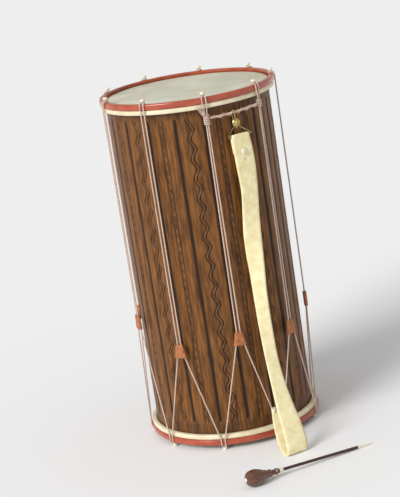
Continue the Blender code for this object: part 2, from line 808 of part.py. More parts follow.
def make_stick(wood, bone, dark):
    """Turned pear-shaped head with a bone inlay, a ferrule, a thin shaft and a pointed tip."""
    socket = SHAFT_RADIUS + GAP
    inlay = 0.0036
    inlay_depth = 0.0018
    socket_end = HEAD_LENGTH - 0.0120
    head = [
        (0, socket_end),
        (socket, socket_end),
        (socket, HEAD_LENGTH),
        (0.0046, HEAD_LENGTH),
        (0.0050, HEAD_LENGTH - 0.0040),
        (0.0068, HEAD_LENGTH - 0.0060),
        (0.0050, HEAD_LENGTH - 0.0080),
        (0.0054, HEAD_LENGTH - 0.0160),
        (0.0078, HEAD_LENGTH - 0.0190),
        (0.0066, HEAD_LENGTH - 0.0220),
        (0.0098, 0.0400),
        (0.0136, 0.0310),
        (0.0158, 0.0230),
        (HEAD_BULB, 0.0170),
        (0.0152, 0.0095),
        (0.0118, 0.0035),
        (0.0070, 0.0008),
        (inlay + GAP, 0.0),
        (inlay + GAP, inlay_depth + GAP),
        (0, inlay_depth + GAP),
    ]
    stick_piece("stick_head", head, wood)
    disc = [(0, inlay_depth), (inlay, inlay_depth), (inlay, 0.0), (0.0024, -0.0007), (0, -0.0009)]
    stick_piece("stick_inlay", disc, bone)
    start = HEAD_LENGTH + GAP
    end = start + FERRULE_LENGTH
    ferrule = [(socket, end), (0.0042, end), (0.0050, start + 0.0020), (0.0050, start), (socket, start)]
    stick_piece("stick_ferrule", ferrule, bone)
    tenon = 0.0015
    shaft = [
        (0, SHAFT_END + 0.0055),
        (tenon, SHAFT_END + 0.0055),
        (tenon, SHAFT_END),
        (SHAFT_RADIUS, SHAFT_END),
        (SHAFT_RADIUS, socket_end + GAP),
        (0, socket_end + GAP),
    ]
    stick_piece("stick_shaft", shaft, dark)
    length = (STICK_TIP - STICK_HEAD).length
    tip = [
        (0, length),
        (0.0010, length - 0.0006),
        (0.0019, length - 0.0120),
        (SHAFT_RADIUS, length - 0.0270),
        (SHAFT_RADIUS + 0.0002, SHAFT_END + GAP),
        (tenon + GAP, SHAFT_END + GAP),
        (tenon + GAP, SHAFT_END + 0.0060),
        (0, SHAFT_END + 0.0060),
    ]
    stick_piece("stick_tip", tip, bone)


def hang_on_axis(names, place):
    """Parents pieces to an empty on the axis that they turn or slide on, and leaves them where they are."""
    axis = bpy.data.objects.new(names[0] + "_axis", None)
    bpy.data.collections[DRUM].objects.link(axis)
    axis.empty_display_size = 0.02
    axis.location = place
    bpy.context.view_layer.update()
    for name in names:
        piece = bpy.data.objects[name]
        piece.parent = axis
        piece.matrix_parent_inverse = axis.matrix_world.inverted()


def main():
    clear_scene()
    add_collection(DRUM)
    add_collection(CUTTERS)
    make_shell()
    for end, upper in (("upper", True), ("lower", False)):
        make_head(end + "_head", upper, material(end + "_vellum", (0.62, 0.60, 0.46), 0.55))
        make_flesh_hoop(end + "_flesh_hoop", upper, material(end + "_ash", (0.50, 0.36, 0.20), 0.6))
        red = material(end + "_red_paint", (0.42, 0.055, 0.022), 0.32)
        make_counter_hoop(end + "_counter_hoop", upper, red)
        make_pegs(end + "_peg", upper, material(end + "_bone", (0.80, 0.74, 0.58), 0.35))
    cord = material("hemp_cord", (0.62, 0.47, 0.37), 0.8)
    make_tension_cord(cord)
    for number in range(PEGS):
        make_tug(number, material(f"tug_leather_{number + 1}", (0.33, 0.13, 0.05), 0.6))
    knot, knot_points = winding(
        "cord_knot",
        upper_azimuth(KNOT_PEG),
        KNOT_LOW,
        KNOT_TURNS,
        material("knot_cord", (0.62, 0.47, 0.37), 0.8),
    )
    winding(
        "bar_binding",
        upper_azimuth(BINDING_PEG),
        BINDING_LOW,
        BINDING_TURNS,
        material("binding_cord", (0.60, 0.46, 0.36), 0.8),
    )
    gap = least_self_gap(knot_points, CORD, LOOP_POINTS // 2)
    print(f"least gap between the turns of a winding: {gap * 1000:.2f} mm")
    make_bar(material("bar_rope", (0.60, 0.46, 0.36), 0.8))
    make_bar_wrapping(material("wrapping_cord", (0.64, 0.50, 0.40), 0.8))
    make_hook(material("brass", (0.72, 0.50, 0.16), 0.25, 1.0))
    make_ring(material("ring_brass", (0.72, 0.50, 0.16), 0.25, 1.0))
    make_strap(material("cream_leather", (0.80, 0.70, 0.45), 0.55))
    make_stud(material("stud_bone", (0.86, 0.82, 0.70), 0.35))
    make_tie(material("thong", (0.80, 0.74, 0.60), 0.6))
    make_stick(
        material("boxwood", (0.16, 0.05, 0.025), 0.3),
        material("stick_bone", (0.82, 0.75, 0.56), 0.35),
        material("blackwood", (0.05, 0.025, 0.018), 0.3),
    )
    start, _, _ = tie_frame()
    hang_on_axis(["strap", "strap_stud", "strap_ring", "strap_tie"], start)
    hang_on_axis(
        ["stick_head", "stick_inlay", "stick_ferrule", "stick_shaft", "stick_tip"], STICK_HEAD
    )


main()
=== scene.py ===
"""Looks of the long rope-tensioned drum: surfaces, rope, leather, light and camera."""
import json
import math

import bpy
import numpy as np
from mathutils import Matrix, Vector


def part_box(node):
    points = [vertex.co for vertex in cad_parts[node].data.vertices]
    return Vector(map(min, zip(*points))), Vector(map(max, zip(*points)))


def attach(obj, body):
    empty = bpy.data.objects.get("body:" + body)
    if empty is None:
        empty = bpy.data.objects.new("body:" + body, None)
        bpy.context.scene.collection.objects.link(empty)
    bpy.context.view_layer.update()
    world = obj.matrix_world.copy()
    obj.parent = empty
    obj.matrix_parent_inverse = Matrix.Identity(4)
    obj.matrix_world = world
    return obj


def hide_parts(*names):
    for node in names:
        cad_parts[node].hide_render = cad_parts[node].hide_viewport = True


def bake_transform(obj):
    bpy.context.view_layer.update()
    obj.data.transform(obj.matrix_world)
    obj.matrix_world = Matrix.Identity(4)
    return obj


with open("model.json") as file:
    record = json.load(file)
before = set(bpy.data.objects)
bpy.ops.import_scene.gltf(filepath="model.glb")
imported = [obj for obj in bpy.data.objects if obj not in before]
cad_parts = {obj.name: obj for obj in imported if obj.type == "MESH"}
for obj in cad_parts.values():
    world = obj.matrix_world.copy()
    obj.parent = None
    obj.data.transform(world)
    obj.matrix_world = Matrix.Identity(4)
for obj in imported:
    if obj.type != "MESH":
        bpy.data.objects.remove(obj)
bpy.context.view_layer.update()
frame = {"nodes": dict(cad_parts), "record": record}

# Sizes shared with the CAD, in metres
FLOOR = -0.017
LOW_EDGE = -0.007
HIGH_EDGE = 0.693
HOOP_RADIUS = 0.175
HOOP_HEIGHT = 0.012
SHELL_RADIUS = 0.1625
SHELL_INSIDE = 0.1555
GROOVE_LOW = 0.034
GROOVE_HIGH = 0.660
PEGS = 9
PEG_PITCH = math.tau / PEGS
FIRST_PEG = math.radians(39.4)
PEG_CIRCLE = 0.1695
GAP = 0.0003

# Cord: its way over the hoops and through the tugs
CORD = 0.0015
STRAND_RADIUS = 0.1770
STRAND_HALF_GAP = 0.00385
STRAND_START = 0.0130
LEG_END = 0.0110
HOOK_DEPTH = -0.00185
PAIR_HALF_GAP = 0.00185
PAIR_RUN = 0.004
PAIR_TOP = 0.0237
STRAND_TUG_TOP = 0.0037
STRAND_TUG_BOTTOM = 0.0086
STRAND_TUG_MIDDLE = (STRAND_TUG_TOP + STRAND_TUG_BOTTOM) / 2

# Knot, binding and carrying bar
KNOT_PEG = 6
KNOT_LOW = 0.6396
KNOT_TURNS = 5
BINDING_PEG = 7
BINDING_LOW = 0.6490
BINDING_TURNS = 4
TURN_PITCH = 0.0035
TURN_WIDE = 0.0053
TURN_DEEP = 0.0035
TURN_POINTS = 24
BAR_RADIUS = 0.1730
BAR_ROPE = 0.0024
BAR_LEFT = 0.6526
BAR_RISE = 0.0040
BAR_SAG = 0.0015
BAR_END_GAP = 0.0006
SPIRAL_CORD = 0.0008
SPIRAL_RADIUS = 0.0034
SPIRAL_TURNS = 5
SPIRAL_POINTS = 48

# Tugs: height of each one's middle, and the sleeve, whose outside is a share of its height and a swell
TUG_HEIGHTS = (0.208, 0.219, 0.203, 0.226, 0.241, 0.196, 0.211, 0.201, 0.220)
TUG_TALL = 0.0275
TUG_TOP_HALF = 0.0074
TUG_BOTTOM_HALF = 0.0127
TUG_HALF_DEPTH = 0.0039
TUG_LEATHER = 0.0013
TUG_CORNERS = 44
TUG_ROUNDING = 0.6
TUG_OUTSIDE = ((0, -0.0001), (0.04, 0), (0.3, 0), (0.6, 0), (0.96, 0), (1, -0.0001))

# Carrying strap: each place is its middle, its width, and the turn of the width about Z in degrees
STRAP_LEATHER = 0.0025
FOLD_CENTRE = Vector((0.0874, -0.1556, 0.6075))
FOLD_BEND = 0.00265
FOLD_WIDTH = 0.0390
STRAP_YAW = math.radians(28)
STRAP_OUT = Vector((math.sin(STRAP_YAW), -math.cos(STRAP_YAW), 0))
STRAP_ACROSS = 12
STRAP_EASING = 4
HOLE_SEAT = Vector((0.0904, -0.1585, 0.5620))
HOLE_LIFT = 0.00128
HOLE_PROFILE = ((0, 0.0002), (0.0011, 0.0002), (0.0011, 0), (0, 0))
STRAP_TAIL = (
    (0.0843, -0.1582, 0.5660, 0.022, 28),
    (0.0850, -0.1575, 0.5750, 0.034, 28),
    (0.0854, -0.1562, 0.5860, 0.037, 28),
    (0.0858, -0.1542, 0.5980, 0.039, 28),
)
STRAP_FRONT = (
    (0.0890, -0.1580, 0.5950, 0.041, 28),
    (0.0900, -0.1583, 0.5750, 0.043, 28),
    (0.0908, -0.1587, 0.5500, 0.043, 28),
    (0.0911, -0.1593, 0.5240, 0.040, 27),
    (0.0905, -0.1599, 0.4950, 0.037, 26),
    (0.0868, -0.1608, 0.4520, 0.036, 20),
    (0.0838, -0.1617, 0.4100, 0.036, 12),
    (0.0830, -0.1628, 0.3720, 0.034, 4),
    (0.0828, -0.1643, 0.3380, 0.031, -2),
    (0.0822, -0.1668, 0.2990, 0.028, 0),
    (0.0826, -0.1714, 0.2470, 0.027, 8),
    (0.0840, -0.1763, 0.2040, 0.027, 16),
    (0.0863, -0.1839, 0.1590, 0.028, 24),
    (0.0911, -0.1959, 0.1130, 0.032, 28),
    (0.0973, -0.2100, 0.0720, 0.039, 28),
    (0.1030, -0.2235, 0.0440, 0.044, 28),
    (0.1068, -0.2345, 0.0230, 0.047, 28),
    (0.1088, -0.2428, 0.0060, 0.048, 28),
    (0.1086, -0.2478, -0.0050, 0.048, 28),
    (0.1072, -0.2484, -0.0115, 0.048, 28),
    (0.1052, -0.2452, -0.0142, 0.047, 28),
    (0.1022, -0.2390, -0.0144, 0.046, 28),
    (0.0985, -0.2300, -0.0130, 0.045, 28),
    (0.0940, -0.2180, -0.0090, 0.042, 28),
    (0.0890, -0.2035, -0.0005, 0.037, 28),
    (0.0845, -0.1890, 0.0110, 0.030, 27),
    (0.0808, -0.1770, 0.0240, 0.023, 26),
    (0.0785, -0.1695, 0.0360, 0.018, 25),
    (0.0778, -0.1665, 0.0480, 0.014, 25),
)

# Carved slots of the shell: each cut is its depth and half its width
SLOT_PITCH = 10
FIRST_SLOT = 228.5
SHELL_COLUMNS = 36 * 28
SHELL_ROWS = 330
SHELL_INSET = 0.0001
STRAIGHT_CUT = (0.0025, 0.0050)
WAVED_CUT = (0.0022, 0.0020)
WAVED_OFFSET = 0.0032
WAVE_LENGTH = 0.039
WAVE_REACH = 0.0042
TWIST_EDGE_CUT = (0.0018, 0.0016)
TWIST_EDGE_OFFSET = 0.0040
TWIST_CUT = (0.0012, 0.0046)
TWIST_LENGTH = 0.018
TWIST_SLANT = 1.6
CARVING_FADE = 0.006
REED_HALF_WIDTH = 0.0142
REED_DROP = 0.0009
# Painted shade in the cuts: the wood is painted darker the deeper the cut, darkest from this depth on
DARKEST_CUT = 0.0022
# Painted shade on the plain end bands next to the hoops
PLAIN_BAND_PAINTED_SHADE = 0.35

# Laid rope: distance between its rings of points, and length of one full twist
CORD_MESH = (0.0011, 0.009)
TURN_MESH = (0.0009, 0.008)
BAR_MESH = (0.001, 0.014)
SPIRAL_MESH = (0.0006, 0.004)
THONG_MESH = (0.0012, 0.5)
FRAY_MESH = (0.002, 0.02)
ROPE_CORE = 0.76
ROPE_LOBE = 0.18
FRAYS = 26
FRAY_CORD = 0.00032
FRAY_RADIUS = 0.1797
FRAY_START = 0.0045
FRAY_LOW = 0.656
FRAY_RISE = 0.020
THONG_CORD = 0.0016
THONG_INSET = 0.0017
THONG_TURNS = 4

# Outlines: radius and depth inside the hoop's edge, or for a peg its radius and height above the edge
HOOP_INSIDE = 0.1652
HOOP_PROFILE = (
    (HOOP_INSIDE, 0.0010),
    (HOOP_INSIDE + 0.0006, 0.0002),
    (HOOP_INSIDE + 0.0016, 0),
    (HOOP_RADIUS - 0.0030, 0),
    (HOOP_RADIUS - 0.0014, 0.0004),
    (HOOP_RADIUS - 0.0004, 0.0014),
    (HOOP_RADIUS, 0.0030),
    (HOOP_RADIUS, HOOP_HEIGHT - 0.0014),
    (HOOP_RADIUS - 0.0004, HOOP_HEIGHT - 0.0005),
    (HOOP_RADIUS - 0.0014, HOOP_HEIGHT),
    (HOOP_INSIDE, HOOP_HEIGHT),
    (HOOP_INSIDE, 0.0010),
)
BAND_INSIDE = 0.1644
SKIN_PROFILE = (
    (0, 0.0070),
    (0.08, 0.0070),
    (0.1620, 0.0070),
    (0.1636, 0.0073),
    (0.1644, 0.0082),
    (0.1646, 0.0120),
    (0.1650, 0.0123),
    (0.1712, 0.0123),
    (0.1724, 0.0128),
    (0.1730, 0.0142),
    (0.1730, 0.0198),
    (0.1724, 0.0212),
    (0.1712, 0.0217),
    (0.1660, 0.0217),
    (0.1634, 0.0215),
    (0.1634, 0.0084),
    (0, 0.0079),
)
PEG_PROFILE = (
    (0, -0.0110),
    (0.0025, -0.0110),
    (0.0025, -0.0004),
    (0.0017, 0.0006),
    (0.0017, 0.0038),
    (0.0028, 0.0045),
    (0.0042, 0.0051),
    (0.0049, 0.0062),
    (0.0050, 0.0073),
    (0.0046, 0.0086),
    (0.0038, 0.0095),
    (0.0026, 0.0099),
    (0, 0.0100),
)
HOOP_STEPS = 240
PEG_STEPS = 28
BEND_STEPS = 8


def upper_azimuth(number):
    return FIRST_PEG + PEG_PITCH * number


def lower_azimuth(number):
    return upper_azimuth(number) + PEG_PITCH / 2


def around(azimuth, tangent, radius, height):
    """The point at a radius on an azimuth, moved sideways along the tangent."""
    return Vector(
        (
            radius * math.cos(azimuth) - tangent * math.sin(azimuth),
            radius * math.sin(azimuth) + tangent * math.cos(azimuth),
            height,
        )
    )


def from_edge(depth, upper):
    """Height of a point this far inside the upper or the lower hoop's outer edge."""
    return HIGH_EDGE - depth if upper else LOW_EDGE + depth


# Materials


def finish(
    name,
    dark,
    light,
    roughness,
    scale,
    stretch=(1, 1, 1),
    bump=0.15,
    metallic=0.0,
    coat=0.0,
    specular=0.5,
):
    """Two colours mixed by stretched noise, with a fine bump of the same grain."""
    made = bpy.data.materials.new(name)
    made.use_nodes = True
    nodes = made.node_tree.nodes
    links = made.node_tree.links
    shader = nodes["Principled BSDF"]
    place = nodes.new("ShaderNodeTexCoord")
    mapping = nodes.new("ShaderNodeMapping")
    mapping.inputs["Scale"].default_value = stretch
    noise = nodes.new("ShaderNodeTexNoise")
    noise.inputs["Scale"].default_value = scale
    noise.inputs["Detail"].default_value = 6.0
    noise.inputs["Roughness"].default_value = 0.6
    ramp = nodes.new("ShaderNodeValToRGB")
    ramp.color_ramp.elements[0].position = 0.32
    ramp.color_ramp.elements[0].color = (*dark, 1)
    ramp.color_ramp.elements[1].position = 0.68
    ramp.color_ramp.elements[1].color = (*light, 1)
    relief = nodes.new("ShaderNodeBump")
    relief.inputs["Strength"].default_value = bump
    relief.inputs["Distance"].default_value = 0.0004
    links.new(place.outputs["Object"], mapping.inputs["Vector"])
    links.new(mapping.outputs["Vector"], noise.inputs["Vector"])
    links.new(noise.outputs["Fac"], ramp.inputs["Fac"])
    links.new(ramp.outputs["Color"], shader.inputs["Base Color"])
    links.new(noise.outputs["Fac"], relief.inputs["Height"])
    links.new(relief.outputs["Normal"], shader.inputs["Normal"])
    shader.inputs["Roughness"].default_value = roughness
    shader.inputs["Metallic"].default_value = metallic
    shader.inputs["Coat Weight"].default_value = coat
    shader.inputs["Coat Roughness"].default_value = 0.15
    shader.inputs["Specular IOR Level"].default_value = specular
    return made


def darkened(made, attribute, colour):
    """Mixes the base colour towards a darker one by a stored value, 0 to 1."""
    nodes = made.node_tree.nodes
    links = made.node_tree.links
    shader = nodes["Principled BSDF"]
    source = shader.inputs["Base Color"].links[0].from_socket
    stored = nodes.new("ShaderNodeAttribute")
    stored.attribute_name = attribute
    mix = nodes.new("ShaderNodeMix")
    mix.data_type = "RGBA"
    mix.inputs["B"].default_value = (*colour, 1)
    links.new(stored.outputs["Fac"], mix.inputs["Factor"])
    links.new(source, mix.inputs["A"])
    links.new(mix.outputs["Result"], shader.inputs["Base Color"])
    return made


# Painted shade: the walnut is mixed towards near-black by a stored value, deeper in the cuts and on the
# plain end bands
WALNUT = darkened(
    finish(
        "walnut",
        (0.058, 0.020, 0.004),
        (0.255, 0.098, 0.019),
        0.42,
        26,
        (8, 8, 0.8),
        0.35,
        specular=0.3,
    ),
    "painted_shade",
    (0.020, 0.010, 0.006),
)
RED = finish(
    "red_paint", (0.30, 0.045, 0.018), (0.47, 0.085, 0.032), 0.30, 45, (1, 1, 2), 0.08, coat=0.4
)
VELLUM = finish("vellum", (0.50, 0.49, 0.36), (0.66, 0.65, 0.52), 0.55, 14, bump=0.2)
BAND = finish("lapped_skin", (0.66, 0.57, 0.36), (0.84, 0.77, 0.56), 0.5, 40, (1, 1, 3), 0.25)
ASH = finish("ash", (0.42, 0.28, 0.15), (0.58, 0.42, 0.25), 0.6, 60, (6, 6, 1))
BONE = finish("bone", (0.70, 0.63, 0.45), (0.86, 0.81, 0.66), 0.32, 120, bump=0.1)
ROPE = finish("cord", (0.46, 0.33, 0.26), (0.70, 0.55, 0.46), 0.85, 400, bump=0.6)
TUG = finish("tug_leather", (0.28, 0.085, 0.026), (0.50, 0.18, 0.06), 0.55, 130, bump=0.5)
BRASS = finish("brass", (0.34, 0.25, 0.09), (0.62, 0.48, 0.20), 0.30, 150, bump=0.1, metallic=1.0)
STRAP = finish("strap_leather", (0.78, 0.66, 0.34), (0.94, 0.85, 0.54), 0.6, 70, bump=0.35)
THONG = finish("thong", (0.70, 0.63, 0.45), (0.85, 0.80, 0.62), 0.7, 200, bump=0.4)
TURNED = finish(
    "turned_wood", (0.060, 0.018, 0.008), (0.17, 0.060, 0.024), 0.28, 50, (1, 4, 4), 0.1, coat=0.5
)
DARK = finish(
    "dark_wood", (0.026, 0.011, 0.008), (0.085, 0.034, 0.022), 0.35, 90, (1, 3, 3), 0.1
)
# Painted shade: a dark mark standing for the shade inside the strap's hole
HOLE_PAINTED_SHADE = finish("hole", (0.03, 0.02, 0.012), (0.06, 0.04, 0.025), 0.9, 100)

# Finish of the CAD nodes that stay in view, and of the hidden ones by their slot
SHOWN = {
    "upper_flesh_hoop": ASH,
    "lower_flesh_hoop": ASH,
    "strap_hook": BRASS,
    "strap_ring": BRASS,
    "strap_stud": BONE,
    "stick_head": TURNED,
    "stick_inlay": BONE,
    "stick_ferrule": BONE,
    "stick_shaft": DARK,
    "stick_tip": BONE,
}
BY_SLOT = {
    "walnut": WALNUT,
    "red_paint": RED,
    "vellum": VELLUM,
    "bone": BONE,
    "cord": ROPE,
    "tug_leather": TUG,
    "strap_leather": STRAP,
    "thong": THONG,
}


# Meshes


def show(name, mesh, made, body, nodes=()):
    """Puts a mesh in the scene with its finish, its body and the CAD nodes that it stands for."""
    mesh.shade_smooth()
    mesh.materials.append(made)
    mesh.update()
    piece = bpy.data.objects.new(name, mesh)
    bpy.context.scene.collection.objects.link(piece)
    if body:
        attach(piece, body)
    if nodes:
        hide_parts(*nodes)
    return piece


def make_piece(name, shape, made, body, nodes=()):
    """A piece from a shape, which is its points and faces. Without a body it is left unattached."""
    points, faces = shape
    mesh = bpy.data.meshes.new(name)
    mesh.from_pydata([tuple(p) for p in points], [], faces)
    return show(name, mesh, made, body, nodes)


def lathe(profile, steps, place=Matrix.Identity(4)):
    """Points and faces of a profile of (radius, height) turned about Z."""
    points = []
    count = len(profile)
    for step in range(steps):
        angle = math.tau * step / steps
        for radius, height in profile:
            turned = Vector((radius * math.cos(angle), radius * math.sin(angle), height))
            points.append(place @ turned)
    faces = []
    for step in range(steps):
        here = step * count
        there = (step + 1) % steps * count
        for i in range(count - 1):
            faces.append((here + i, there + i, there + i + 1, here + i + 1))
    return points, faces


def tube_faces(rings, sides, first=0):
    """Faces of a tube whose points come ring by ring, with a cap at each end."""
    faces = []
    for i in range(rings - 1):
        for j in range(sides):
            a = first + i * sides + j
            b = first + i * sides + (j + 1) % sides
            faces.append((a, b, b + sides, a + sides))
    last = first + (rings - 1) * sides
    faces.append(tuple(first + j for j in reversed(range(sides))))
    faces.append(tuple(last + j for j in range(sides)))
    return faces


def resample(points, step, rounding):
    """Even points along a line, with its corners rounded."""
    path = np.array([tuple(p) for p in points], float)
    lengths = np.concatenate([[0], np.cumsum(np.linalg.norm(np.diff(path, axis=0), axis=1))])
    places = np.linspace(0, lengths[-1], max(4, int(lengths[-1] / step)))
    even = np.stack([np.interp(places, lengths, path[:, k]) for k in range(3)], axis=1)
    for _ in range(rounding):
        even[1:-1] = (even[:-2] + 2 * even[1:-1] + even[2:]) / 4
    return even


def rope(paths, radius, mesh, strands=3, sides=12, taper=0.0, rounding=3):
    """Points and faces of laid rope along each path. mesh is its ring distance and twist length."""
    step, lay = mesh
    points = []
    faces = []
    for path in paths:
        line = resample(path, step, rounding)
        along = np.gradient(line, axis=0)
        along /= np.linalg.norm(along, axis=1)[:, None]
        normal = Vector(along[0]).orthogonal().normalized()
        first = len(points)
        count = len(line)
        for i in range(count):
            tangent = Vector(along[i])
            normal = (normal - tangent * normal.dot(tangent)).normalized()
            side = tangent.cross(normal)
            middle = Vector(line[i])
            thin = radius * (1 - taper * i / (count - 1))
            for j in range(sides):
                angle = math.tau * j / sides
                lobe = abs(math.cos(strands * (angle - math.tau * i * step / lay) / 2))
                reach = thin * (ROPE_CORE + ROPE_LOBE * lobe)
                points.append(middle + reach * (math.cos(angle) * normal + math.sin(angle) * side))
        faces += tube_faces(count, sides, first)
    return points, faces


# Shell


def bell(distance, half_width):
    """1 on the line and 0 from half_width on, with a smooth fall between."""
    inside = np.clip(1 - np.abs(distance) / half_width, 0, 1)
    return inside * inside * (3 - 2 * inside)


def cut(distance, size):
    depth, half_width = size
    return depth * bell(distance, half_width)


def carving(across, height, kind):
    """Depth of the carving: waved in every fourth slot, twisted half-way between, straight elsewhere."""
    wave = WAVE_REACH * np.sin(math.tau * height / WAVE_LENGTH)
    waved = cut(np.abs(across - wave) - WAVED_OFFSET, WAVED_CUT)
    turns = 0.5 + 0.5 * np.sin(math.tau * (height + TWIST_SLANT * across) / TWIST_LENGTH)
    edges = cut(np.abs(across) - TWIST_EDGE_OFFSET, TWIST_EDGE_CUT)
    twisted = np.maximum(edges, cut(across, TWIST_CUT) * (1 - turns) ** 2)
    return np.where(kind == 0, waved, np.where(kind == 2, twisted, cut(across, STRAIGHT_CUT)))


def cylinder(radius, azimuth, height):
    """Points on a turned surface, as an array of X, Y and Z."""
    return np.stack([radius * np.cos(azimuth), radius * np.sin(azimuth), height], axis=-1).reshape(-1, 3)


def carved_shell():
    """The wooden tube: a carved outside and a plain inside, closed at both ends."""
    low, high = (corner.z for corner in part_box("shell"))
    heights = np.linspace(low, high, SHELL_ROWS)
    degrees = np.arange(SHELL_COLUMNS) * 360 / SHELL_COLUMNS
    angle, height = np.meshgrid(degrees, heights)
    slot = np.round((angle - FIRST_SLOT) / SLOT_PITCH)
    across = SHELL_RADIUS * np.radians((angle - FIRST_SLOT) - SLOT_PITCH * slot)
    depth = carving(across, height, np.mod(slot, 4))
    bottom_end = np.clip((height - GROOVE_LOW) / CARVING_FADE, 0, 1)
    top_end = np.clip((GROOVE_HIGH - height) / CARVING_FADE, 0, 1)
    carved = bottom_end * top_end
    crown = REED_DROP * (1 - np.abs(across) / REED_HALF_WIDTH) ** 2
    radius = SHELL_RADIUS - SHELL_INSET - carved * (depth + crown)
    # Painted shade: darker the deeper the cut
    painted_shade = carved * np.clip(depth / DARKEST_CUT, 0, 1) ** 0.7
    # Painted shade on the plain end bands next to the hoops
    painted_shade = np.maximum(painted_shade, (1 - carved) * PLAIN_BAND_PAINTED_SHADE)
    rows = [cylinder(radius, np.radians(angle), height)]
    for end in (high, low):
        rows.append(cylinder(SHELL_INSIDE, np.radians(degrees), np.full(SHELL_COLUMNS, end)))
    points = np.concatenate(rows)
    here = np.arange(len(points)).reshape(-1, SHELL_COLUMNS)
    beside = np.roll(here, -1, axis=1)
    above = np.roll(here, -1, axis=0)
    above_beside = np.roll(beside, -1, axis=0)
    faces = np.stack([here, beside, above_beside, above], axis=2).reshape(-1, 4)
    mesh = bpy.data.meshes.new("carved_shell")
    mesh.vertices.add(len(points))
    mesh.vertices.foreach_set("co", points.astype(np.float32).ravel())
    mesh.loops.add(faces.size)
    mesh.loops.foreach_set("vertex_index", faces.astype(np.int32).ravel())
    mesh.polygons.add(len(faces))
    mesh.polygons.foreach_set("loop_start", np.arange(0, faces.size, 4, dtype=np.int32))
    mesh.update(calc_edges=True)
    mesh.validate()
    shade = np.concatenate([painted_shade.ravel(), np.zeros(2 * SHELL_COLUMNS)]).astype(np.float32)
    mesh.attributes.new("painted_shade", "FLOAT", "POINT").data.foreach_set("value", shade)
    show("carved_shell", mesh, WALNUT, "drum", ("shell",))


# Hoops, skins and pegs


def make_end(end, upper):
    """One end of the drum: the red hoop, the skin lapped round its flesh hoop, and the pegs."""

    def turned(profile, steps):
        heights = [(radius, from_edge(depth, upper)) for radius, depth in profile]
        return lathe(heights if upper else heights[::-1], steps)

    hoop = turned(HOOP_PROFILE, HOOP_STEPS)
    make_piece(f"{end}_hoop_paint", hoop, RED, "drum", (f"{end}_counter_hoop",))
    skin = turned(SKIN_PROFILE, HOOP_STEPS)
    piece = make_piece(f"{end}_skin", skin, VELLUM, "drum", (f"{end}_head",))
    piece.data.materials.append(BAND)
    for polygon in piece.data.polygons:
        if math.hypot(polygon.center.x, polygon.center.y) > BAND_INSIDE:
            polygon.material_index = 1
    azimuth = upper_azimuth if upper else lower_azimuth
    turn = Matrix.Identity(4) if upper else Matrix.Rotation(math.pi, 4, "X")
    for number in range(PEGS):
        seat = around(azimuth(number), 0, PEG_CIRCLE, from_edge(0, upper))
        peg = lathe(PEG_PROFILE, PEG_STEPS, Matrix.Translation(seat) @ turn)
        name = f"{end}_peg_{number + 1}"
        make_piece(f"{name}_bone", peg, BONE, "drum", (name,))


# Cord


def over_hoop(azimuth, upper):
    """The cord's way up a hoop's face, round a peg's neck and down again."""
    side = [
        (STRAND_RADIUS, STRAND_START),
        (STRAND_RADIUS, 0.0030),
        (HOOP_RADIUS + 0.0007, -0.0010),
        (HOOP_RADIUS - 0.0024, HOOK_DEPTH),
    ]
    points = [around(azimuth, -STRAND_HALF_GAP, r, from_edge(depth, upper)) for r, depth in side]
    for step in range(BEND_STEPS + 1):
        angle = math.pi * step / BEND_STEPS
        tangent = -STRAND_HALF_GAP * math.cos(angle)
        radius = PEG_CIRCLE - STRAND_HALF_GAP * math.sin(angle)
        points.append(around(azimuth, tangent, radius, from_edge(HOOK_DEPTH, upper)))
    points += [
        around(azimuth, STRAND_HALF_GAP, r, from_edge(depth, upper)) for r, depth in reversed(side)
    ]
    return points


def strand_down(number, side):
    """One strand from the hoop down to the middle of its tug. side is -1 or 1 along the tangent."""
    azimuth = upper_azimuth(number)
    middle = TUG_HEIGHTS[number]
    points = []
    if number == KNOT_PEG:
        points.append((PAIR_HALF_GAP, KNOT_LOW + KNOT_TURNS * TURN_PITCH + PAIR_RUN))
        points.append((PAIR_HALF_GAP, KNOT_LOW - PAIR_RUN))
    if number == BINDING_PEG:
        points.append((PAIR_HALF_GAP, from_edge(PAIR_TOP, True)))
        points.append((PAIR_HALF_GAP, BINDING_LOW - PAIR_RUN))
    points.append((STRAND_TUG_TOP, middle + TUG_TALL / 2))
    points.append((STRAND_TUG_MIDDLE, middle))
    return [around(azimuth, side * tangent, STRAND_RADIUS, height) for tangent, height in points]


def leg(number, side):
    """One strand from the middle of its tug down to the lower hoop."""
    azimuth = upper_azimuth(number)
    middle = TUG_HEIGHTS[number]
    hook = lower_azimuth(number if side > 0 else number - 1)
    points = [
        around(azimuth, side * STRAND_TUG_MIDDLE, STRAND_RADIUS, middle),
        around(azimuth, side * STRAND_TUG_BOTTOM, STRAND_RADIUS, middle - TUG_TALL / 2),
    ]
    for depth in (STRAND_START, LEG_END):
        points.append(around(hook, -side * STRAND_HALF_GAP, STRAND_RADIUS, from_edge(depth, False)))
    return points


def tension_cord():
    """The cord above and below each tug, and the bends over the lower hoop."""
    stands_for = ("tension_cord",)
    bends = []
    for number in range(PEGS):
        loop = strand_down(number, -1)[::-1] + over_hoop(upper_azimuth(number), True)
        loop += strand_down(number, 1)
        shape = rope([loop], CORD, CORD_MESH)
        above = make_piece(f"cord_above_{number + 1}", shape, ROPE, None, stands_for)
        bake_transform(above)
        shape = rope([leg(number, 1), leg(number, -1)], CORD, CORD_MESH, rounding=2)
        below = make_piece(f"cord_below_{number + 1}", shape, ROPE, None, stands_for)
        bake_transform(below)
        bends.append(over_hoop(lower_azimuth(number), False))
    shape = rope(bends, CORD, CORD_MESH)
    make_piece("cord_lower_hooks", shape, ROPE, "drum", stands_for)


def wound(azimuth, low, turns):
    """Cord wound round a pair of strands."""
    points = []
    for i in range(turns * TURN_POINTS + 1):
        angle = math.tau * i / TURN_POINTS
        tangent = TURN_WIDE * math.cos(angle)
        radius = STRAND_RADIUS + TURN_DEEP * math.sin(angle)
        points.append(around(azimuth, tangent, radius, low + CORD + TURN_PITCH * i / TURN_POINTS))
    return points


